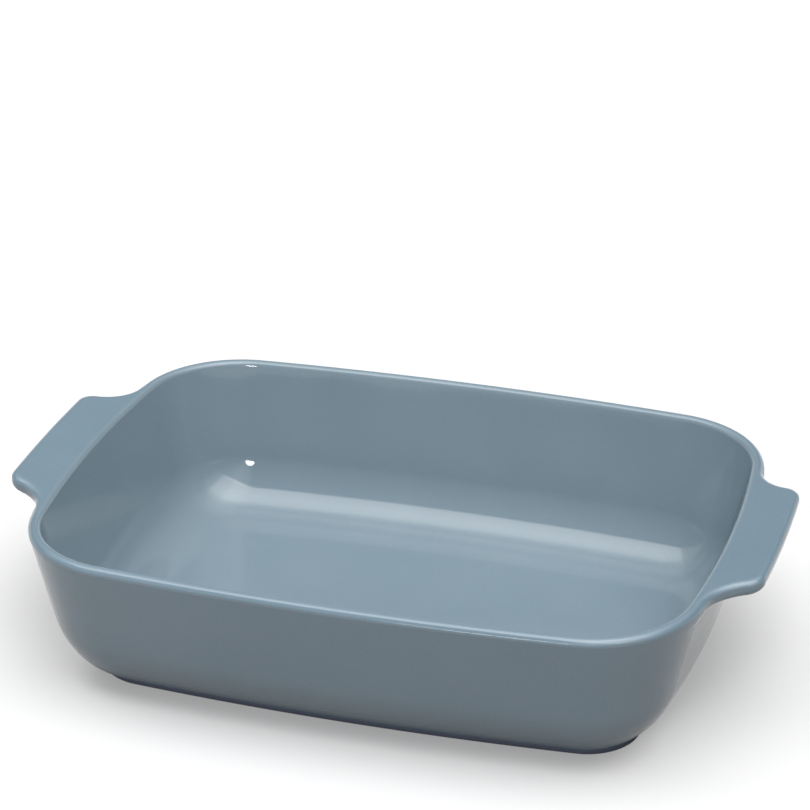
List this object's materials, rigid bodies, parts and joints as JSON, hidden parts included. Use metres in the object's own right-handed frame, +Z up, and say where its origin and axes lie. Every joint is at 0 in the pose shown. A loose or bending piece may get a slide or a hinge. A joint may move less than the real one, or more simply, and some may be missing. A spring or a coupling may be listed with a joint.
{
  "type": "lasagna dish",
  "caption": "Rectangular glazed stoneware baking dish with rounded corners, sloping walls, flat lug handles on its short ends and a bare foot ring.",
  "frame": {"origin": "on the table under the middle of the dish, in the plane of the foot ring's underside", "axes": "+X along the dish's length through both handles, +Y across it, +Z up"},
  "size_m": [0.381, 0.256, 0.0859],
  "materials": {
    "stoneware": "fired clay body, matt",
    "bare_foot": "unglazed, wiped and ground flat, matt",
    "inner_glaze": "opaque blue-grey glaze, glossy",
    "outer_glaze": "opaque blue-grey glaze, glossy"
  },
  "bodies": {
    "root": {"basin": "stoneware", "foot_ring": "bare_foot", "left_handle": "stoneware", "right_handle": "stoneware", "inner_glaze": "inner_glaze", "outer_glaze": "outer_glaze", "base_glaze": "outer_glaze", "left_handle_glaze": "outer_glaze", "right_handle_glaze": "outer_glaze"}
  },
  "joints": []
}
